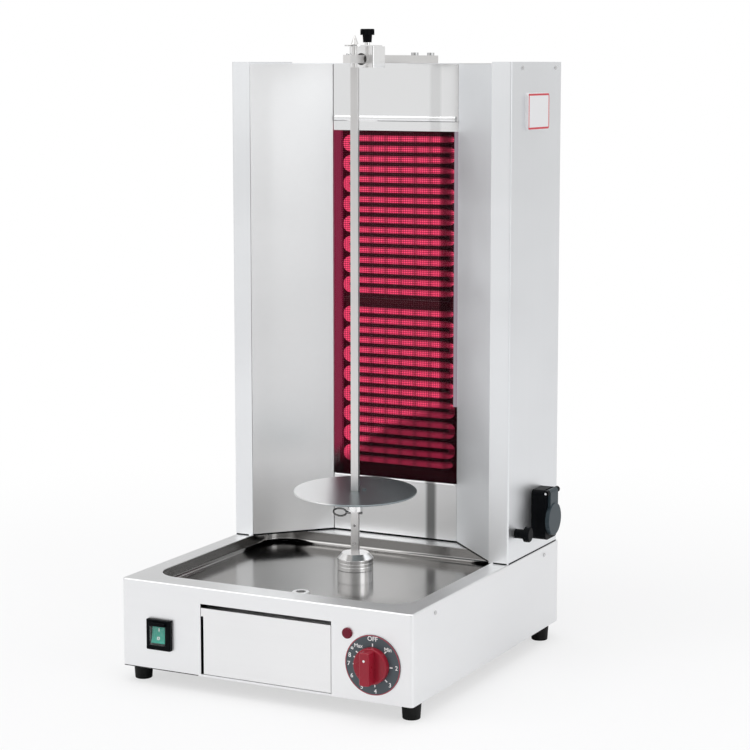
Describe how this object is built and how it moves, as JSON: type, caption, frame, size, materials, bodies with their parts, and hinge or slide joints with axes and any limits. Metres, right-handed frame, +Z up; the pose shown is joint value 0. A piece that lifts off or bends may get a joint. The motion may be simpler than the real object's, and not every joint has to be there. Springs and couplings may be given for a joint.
{
  "type": "doner kebab grill",
  "caption": "Electric upright grill: a turning spit with a meat disc before a heated cabinet, on a base with a drip tray, grease drawer and controls.",
  "frame": {"origin": "on the table, in the middle of the whole machine's outline", "axes": "+Z up, the front with the knob faces -Y, +X to the viewer's right"},
  "size_m": [0.3731, 0.42, 0.7037],
  "materials": {
    "satin_steel": "satin stainless steel",
    "plain_steel": "plain stainless sheet",
    "turned_steel": "machined stainless steel",
    "fasteners": "zinc-plated steel",
    "gear_steel": "plain machined steel",
    "bronze": "sintered bronze",
    "seal_rubber": "black rubber",
    "foot_rubber": "black rubber",
    "cast_housing": "die-cast aluminium",
    "motor_can": "plated motor can",
    "heater_glass": "tinted glass-ceramic",
    "heating_tube": "glowing heating tube",
    "insulation": "pressed fibre board",
    "badge_white": "plain white plate with a red border",
    "black_plastic": "black plastic",
    "slate_plastic": "slate grey plastic",
    "green_plastic": "clear green plastic",
    "red_plastic": "dark red plastic",
    "lamp_red": "dark red lens",
    "dial_slate": "slate plate with white figures"
  },
  "bodies": {
    "base": {"base_shell": "satin_steel", "base_floor": "plain_steel", "foot_front_left": "foot_rubber", "foot_front_right": "foot_rubber", "foot_back_left": "foot_rubber", "foot_back_right": "foot_rubber", "foot_screws": "fasteners", "drain_eyelet": "satin_steel", "hub_collar": "turned_steel", "shaft_bush": "bronze", "shaft_seal": "seal_rubber", "gearbox_case": "cast_housing", "gearbox_lid": "cast_housing", "gearbox_studs": "fasteners", "motor_can": "motor_can", "top_arm": "turned_steel", "arm_bolts": "fasteners", "stop_screw": "turned_steel", "cabinet_side_left": "satin_steel", "cabinet_side_right": "satin_steel", "wing_left": "satin_steel", "wing_right": "satin_steel", "upper_panel": "satin_steel", "glass_retainer": "satin_steel", "lower_panel": "satin_steel", "ceramic_glass": "heater_glass", "heating_coil_upper": "heating_tube", "heating_coil_lower": "heating_tube", "insulation_board": "insulation", "heater_pan": "plain_steel", "rear_panel": "plain_steel", "cabinet_cover": "satin_steel", "panel_screws": "fasteners", "badge_plate": "badge_white", "drawer_guide": "plain_steel", "switch_body": "black_plastic", "pilot_lamp": "lamp_red", "dial_plate": "dial_slate", "regulator_body": "black_plastic", "cable_gland": "black_plastic", "socket_body": "black_plastic", "socket_pin": "fasteners"},
    "spit": {"drive_hub": "turned_steel", "drive_wheel": "gear_steel", "spit_bar": "turned_steel"},
    "pinion": {"motor_pinion": "gear_steel"},
    "disc": {"meat_disc": "satin_steel", "disc_collar": "satin_steel"},
    "locking_pin": {"locking_pin": "turned_steel"},
    "clamp": {"clamp_block": "turned_steel", "lock_plate": "turned_steel"},
    "clamp_hand": {"clamp_knob": "black_plastic", "clamp_screw": "turned_steel"},
    "drawer": {"drawer_front": "satin_steel", "drawer_pan": "plain_steel"},
    "rocker": {"rocker": "green_plastic"},
    "heat_knob": {"control_knob": "red_plastic", "regulator_spindle": "gear_steel"},
    "lid": {"socket_lid": "slate_plastic"},
    "side_knob": {"side_knob": "black_plastic"}
  },
  "joints": [
    {"name": "spit_spin", "type": "hinge", "parent": "base", "child": "spit", "pos_m": [0.00535, -0.0104, 0.1075], "axis": [0, 0, 1], "continuous": true},
    {"name": "pinion_spin", "type": "hinge", "parent": "base", "child": "pinion", "pos_m": [-0.0249, -0.0104, 0.0713], "axis": [0, 0, 1], "continuous": true},
    {"name": "disc_slide", "type": "slide", "parent": "spit", "child": "disc", "axis": [0, 0, 1], "range_m": [0, 0.42]},
    {"name": "locking_pin_pull", "type": "slide", "parent": "spit", "child": "locking_pin", "axis": [-0.9659, -0.2588, 0], "range_m": [0, 0.022]},
    {"name": "clamp_slide", "type": "slide", "parent": "base", "child": "clamp", "axis": [0, 1, 0], "range_m": [0, 0.08]},
    {"name": "clamp_knob_turn", "type": "hinge", "parent": "clamp", "child": "clamp_hand", "pos_m": [0.00535, 0.0195, 0.6861], "axis": [0, 0, 1], "range_deg": [0, 360]},
    {"name": "drawer_slide", "type": "slide", "parent": "base", "child": "drawer", "axis": [0, -1, 0], "range_m": [0, 0.11]},
    {"name": "rocker_tilt", "type": "hinge", "parent": "base", "child": "rocker", "pos_m": [-0.13815, -0.186, 0.0575], "axis": [1, 0, 0], "range_deg": [0, 18]},
    {"name": "heat_knob_turn", "type": "hinge", "parent": "base", "child": "heat_knob", "pos_m": [0.11875, -0.1903, 0.0573], "axis": [0, 1, 0], "range_deg": [0, 315]},
    {"name": "socket_lid_hinge", "type": "hinge", "parent": "base", "child": "lid", "pos_m": [0.18135, 0.133, 0.1852], "axis": [0, -1, 0], "range_deg": [0, 120], "stiffness_Nm_per_rad": 0.002},
    {"name": "side_knob_turn", "type": "hinge", "parent": "base", "child": "side_knob", "pos_m": [0.16385, 0.072, 0.147], "axis": [1, 0, 0], "range_deg": [0, 360]}
  ],
  "couplings": [
    {"joint": "pinion_spin", "follows": "spit_spin", "ratio": -4}
  ]
}
